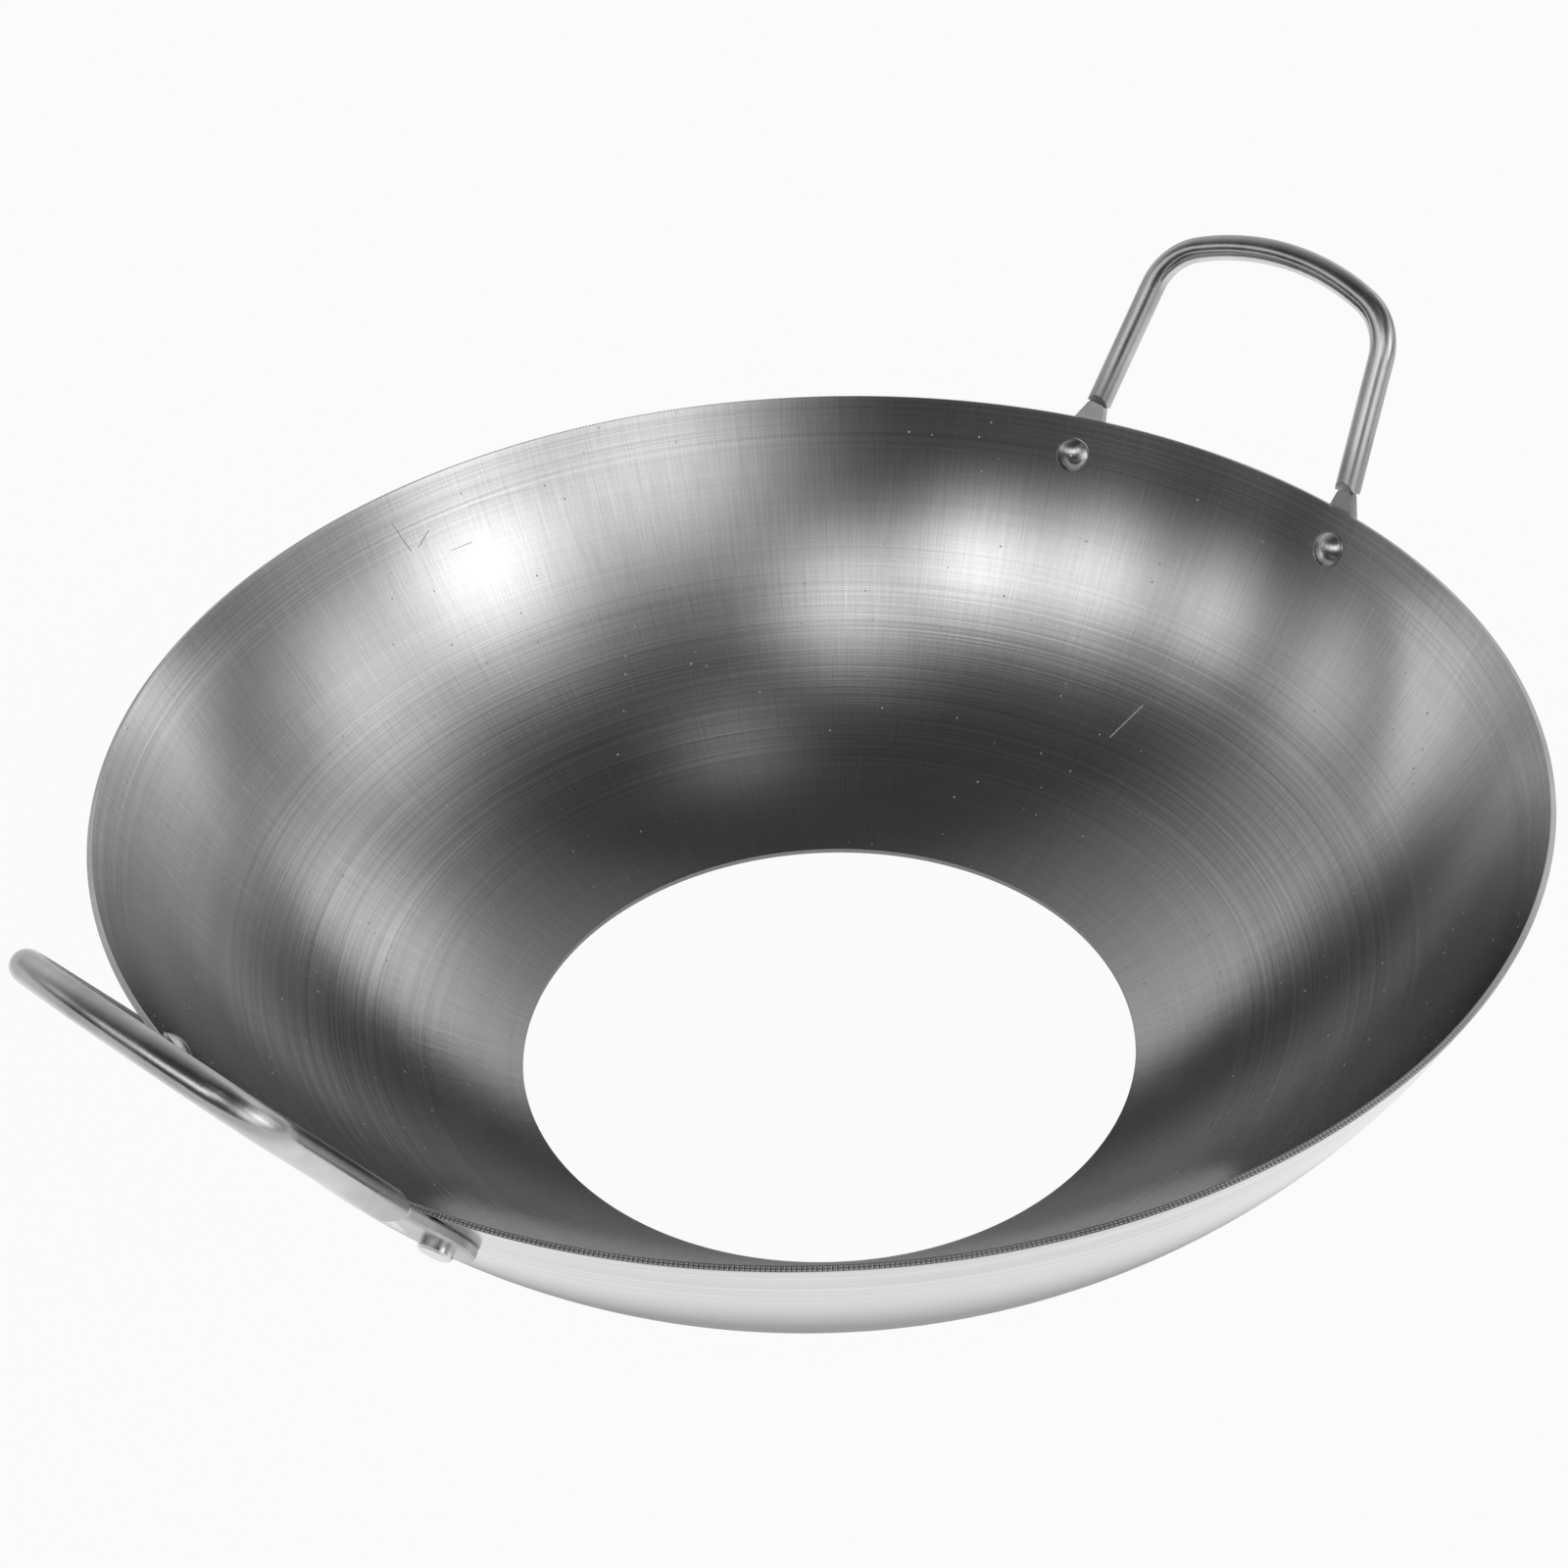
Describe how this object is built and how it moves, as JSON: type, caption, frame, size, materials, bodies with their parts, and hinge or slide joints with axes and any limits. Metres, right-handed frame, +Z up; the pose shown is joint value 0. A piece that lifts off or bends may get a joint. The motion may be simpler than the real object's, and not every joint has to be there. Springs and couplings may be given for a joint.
{
  "type": "wok ring",
  "caption": "Spun steel bowl with its bottom cut out, with two sloping bent-rod handles riveted outside the rim.",
  "frame": {"origin": "middle of the bottom hole, on the surface that the ring stands on", "axes": "+X through the middles of the two handles, +Z up along the bowl's axis"},
  "size_m": [0.4714, 0.3998, 0.1733],
  "materials": {
    "bowl_steel": "brushed",
    "rod_steel": "polished",
    "rivet_steel": "polished"
  },
  "bodies": {
    "root": {"bowl": "bowl_steel", "handle_right": "rod_steel", "handle_left": "rod_steel", "rivet_right_back": "rivet_steel", "rivet_right_front": "rivet_steel", "rivet_left_front": "rivet_steel", "rivet_left_back": "rivet_steel"}
  },
  "joints": []
}
